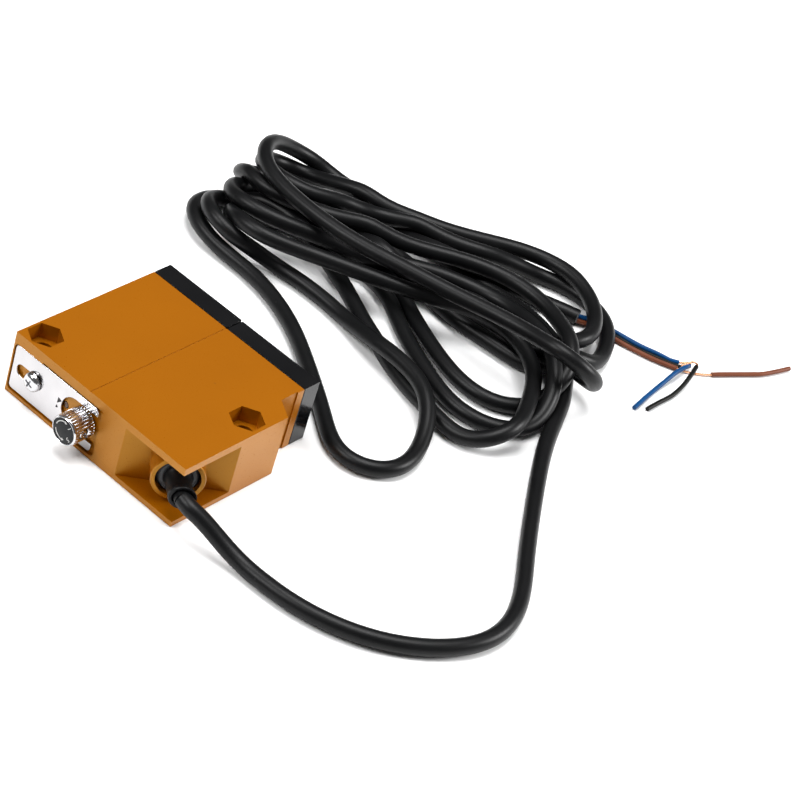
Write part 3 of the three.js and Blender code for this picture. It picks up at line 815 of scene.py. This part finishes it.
def make_pointers():
    """Two small painted triangles beside the knob."""
    marks = (
        ("pointer_high", [(16.5, 7.6), (17.9, 9.0), (16.6, 9.5)]),
        ("pointer_low", [(16.3, 6.1), (17.2, 6.6), (16.5, 7.2)]),
    )
    for name, outline in marks:
        mark = prism(name, rounded(outline, 0.08, 3), PLATE_FRONT - 0.02, PLATE_FRONT + 0.01, "y")
        finish_piece(mark, "lock_plate", "black_plastic", crease=30)


def make_lock_screw():
    head = [
        (0, -1.55), (0.9, -1.54), (1.45, -1.45), (1.95, -1.22), (2.3, -0.88), (2.48, -0.5),
        (2.55, -0.2), (2.55, -0.08), (2.47, 0),
    ]
    shaft = [(1.2, 0), (1.2, 6.0), (1.0, 6.2), (0, 6.2)]
    screw = turned("screw", [*head, *shaft], (SCREW_X, 0, AXIS_Z), (0, 1, 0), 64)
    blades = []
    for turn in (0.4, 0.4 + math.pi / 2):
        blade = block("cutter", -1.25, 1.25, -2.5, -0.8, -0.25, 0.25)
        blade.data.transform(
            Matrix.Translation((SCREW_X, 0, AXIS_Z)) @ Matrix.Rotation(turn, 4, "Y")
        )
        blades.append(blade)
    combine(screw, blades)
    soften(screw, 0.05, 2, 40)
    return finish_piece(screw, "lock_screw", "chrome", "lock_screw")


make_lock_plate()
make_pointers()
make_lock_screw()


# ---------------------------------------------------------------- knob
def make_knob():
    front = [
        (0, -5.6), (3.45, -5.6), (3.48, -5.66), (3.48, DIAL_FACE), (3.54, KNOB_FRONT),
        (3.66, KNOB_FRONT), (3.88, -5.86), (3.92, -5.7), (3.88, -5.5),
    ]
    grip = [(KNOB_RADIUS, y) for y in (-5.25, -3.5, -1.6, 0.2)]
    back = [
        (3.9, 0.42), (3.75, 0.62), (3.6, KNOB_BACK), (1.7, KNOB_BACK), (1.7, -4.5), (0, -4.5),
    ]
    cut_rows = range(len(front), len(front) + len(grip))

    def wave(row, angle):
        """Flat-topped teeth with rounded gaps."""
        if row not in cut_rows:
            return 0
        return -0.32 * min(1, max(0, 0.62 - 0.95 * math.cos(KNOB_TEETH * angle)))

    rows = [*front, *grip, *back]
    knob = turned("knurled_knob", rows, (KNOB_X, 0, AXIS_Z), (0, 1, 0), KNOB_TEETH * 12, wave)
    seat = turned(
        "cutter", [(0, 1.2), (1.4, 1.2), (1.4, 3.45), (1.95, 3.95), (1.95, 5), (0, 5)],
        (KNOB_X, SET_SCREW_Y, AXIS_Z), (1, 0, 0), 40,
    )
    combine(knob, [seat])
    return finish_piece(knob, "knob", "chrome", "knob", crease=38)


def make_dial():
    dial = turned(
        "dial",
        [(0, DIAL_FACE), (3.2, DIAL_FACE), (3.33, -5.97), (3.38, -5.86), (3.38, DIAL_BACK), (0, DIAL_BACK)],
        (KNOB_X, 0, AXIS_Z), (0, 1, 0), 96,
    )
    return finish_piece(dial, "knob", "dial_plastic", "knob_dial", crease=40)


def make_set_screw():
    body = turned(
        "grub_screw", [(0, 1.98), (1.05, 1.98), (1.15, 2.08), (1.15, 3.4), (0.98, 3.58), (0, 3.58)],
        (KNOB_X, SET_SCREW_Y, AXIS_Z), (1, 0, 0), 40,
    )
    combine(body, [rod(0.62, 2.9, 4, (KNOB_X, SET_SCREW_Y, AXIS_Z), (1, 0, 0), 6)])
    soften(body, 0.04, 2, 40)
    return finish_piece(body, "knob", "steel", "knob_set_screw")


def dial_point(radius, degrees):
    a = math.radians(degrees)
    return KNOB_X + radius * math.cos(a), AXIS_Z + radius * math.sin(a)


def make_arrow(name, start, stop):
    """A curved arrow on the dial, from one angle to another, with its head at the end."""
    steps = 24
    way = math.copysign(1, stop - start)
    angles = [start + (stop - start) * k / steps for k in range(steps + 1)]
    outline = [dial_point(2.72, a) for a in angles]
    outline += [dial_point(3.0, stop), dial_point(2.5, stop + 16 * way), dial_point(2.15, stop)]
    outline += [dial_point(2.48, a) for a in reversed(angles)]
    arrow = prism(name, outline, DIAL_FACE - 0.025, DIAL_FACE + 0.005, "y")
    return finish_piece(arrow, "knob", "mark_paint", crease=30)


def make_digit(digit, degrees):
    data = bpy.data.curves.new(f"digit_{digit}", "FONT")
    data.body = digit
    data.size = 1.7
    data.extrude = 0.012
    data.align_x = "CENTER"
    data.align_y = "CENTER"
    letter = bpy.data.objects.new(f"digit_{digit}", data)
    bpy.context.collection.objects.link(letter)
    mesh = evaluated_mesh(letter)
    x, z = dial_point(2.3, degrees)
    facing = Matrix.Rotation(math.radians(90), 4, "X")
    spin = Matrix.Rotation(math.radians(degrees - 90), 4, "Z")
    mesh.transform(Matrix.Translation((x, DIAL_FACE - 0.01, z)) @ facing @ spin)
    bpy.data.objects.remove(letter)
    thing = bpy.data.objects.new(f"digit_{digit}", mesh)
    bpy.context.collection.objects.link(thing)
    return finish_piece(thing, "knob", "mark_paint", crease=30)


make_knob()
make_dial()
make_set_screw()
make_arrow("arrow_up", 168, 92)
make_arrow("arrow_down", 196, 268)
make_digit("1", 48)
make_digit("5", -38)

# ---------------------------------------------------------------- cable exit
SLEEVE_LENGTH = 7.3  # back from the corner, along the diagonal
SLEEVE_LEAN = 1.2
ACROSS = Vector((1, 1, 0)).normalized()

gland = turned(
    "gland_disc",
    [(2.5, -12), (5.25, -12), (5.25, -8.3), (5.1, -8.05), (4.75, -7.8), (4.5, -7.6), (4.35, -7.6),
     (4.25, -7.72), (3.75, -7.72), (3.65, -7.6), (2.5, -7.6)],
    CABLE_CORNER, OUTWARD, 96,
)
finish_piece(gland, "body", "grey_plastic", "cable_gland", crease=35)
sleeve = turned(
    "cable_sleeve",
    [(2.5, -SLEEVE_LENGTH), (3.55, -SLEEVE_LENGTH), (3.6, -7.1), (3.35, -6.5), (3.2, -6.2), (3.12, -4),
     (3.1, -1.55), (3.25, -1.3), (3.38, -1.1), (3.4, -0.5), (3.3, -0.3), (2.75, -0.3), (2.5, -0.45)],
    CABLE_CORNER, OUTWARD, 96,
)


def sleeve_lean(distance):
    """How far the flexible sleeve leans across, towards the way that the cable takes."""
    return SLEEVE_LEAN * (max(0, distance + SLEEVE_LENGTH) / SLEEVE_LENGTH) ** 2


for vertex in sleeve.data.vertices:
    vertex.co += ACROSS * sleeve_lean((vertex.co - CABLE_CORNER).dot(OUTWARD))
finish_piece(sleeve, "body", "black_rubber", "strain_relief", crease=35)
root_line = [
    CABLE_CORNER + OUTWARD * t + ACROSS * sleeve_lean(t) for t in np.linspace(-11.5, 0.3, 24)
]
root_line = np.array(root_line) + np.array(CORNER) / MM
root = curve_piece("cable_root", root_line, CABLE_DIAMETER / 2 - 0.02, "black_rubber", 6)

# the pale filling that shows at the jacket's cut end
end_point, before = Vector(cable_line[-1]), Vector(cable_line[-3])
filling = turned(
    "jacket_filling", [(0, -0.5), (1.55, -0.5), (1.55, 0.12), (1.4, 0.2), (0, 0.2)],
    end_point - Vector(CORNER) / MM, end_point - before, 40,
)
finish_piece(filling, "body", "filler", crease=40)


# ---------------------------------------------------------------- floor, light
LIT_POINT = Vector((0.01, 0.06, 0))


def make_floor():
    bpy.ops.mesh.primitive_plane_add(size=6, location=(0, 0, -0.0002))
    floor = bpy.context.object
    floor.name = "floor"
    material, nodes, links, shader = new_material("floor")
    place = nodes.new("ShaderNodeTexCoord").outputs["Object"]
    tone = spread(nodes, links, noise(nodes, links, place, 3.0), 0, 1)
    base = blend_colours(nodes, links, tone, (0.90, 0.90, 0.90), (0.92, 0.92, 0.92))
    links.new(base, shader.inputs["Base Color"])
    shader.inputs["Roughness"].default_value = 0.8
    floor.data.materials.append(material)


def make_light(name, at, side, power):
    """A square soft light that faces the middle of the object."""
    data = bpy.data.lights.new(name, "AREA")
    data.size = side
    data.energy = power
    lamp = bpy.data.objects.new(name, data)
    lamp.location = at
    lamp.rotation_euler = (LIT_POINT - Vector(at)).to_track_quat("-Z", "Y").to_euler()
    bpy.context.collection.objects.link(lamp)


make_floor()
make_light("overhead", (-0.05, 0.1, 1.5), 0.9, 29)
make_light("right", (0.85, 0.8, 0.55), 0.5, 17)
make_light("left", (-0.5, -0.8, 0.95), 0.5, 12)
world = bpy.data.worlds.new("world")
world.use_nodes = True
world.node_tree.nodes["Background"].inputs["Color"].default_value = (1, 1, 1, 1)
world.node_tree.nodes["Background"].inputs["Strength"].default_value = 0.12
bpy.context.scene.world = world
bpy.context.scene.view_settings.view_transform = "Standard"
bpy.context.scene.view_settings.look = "None"
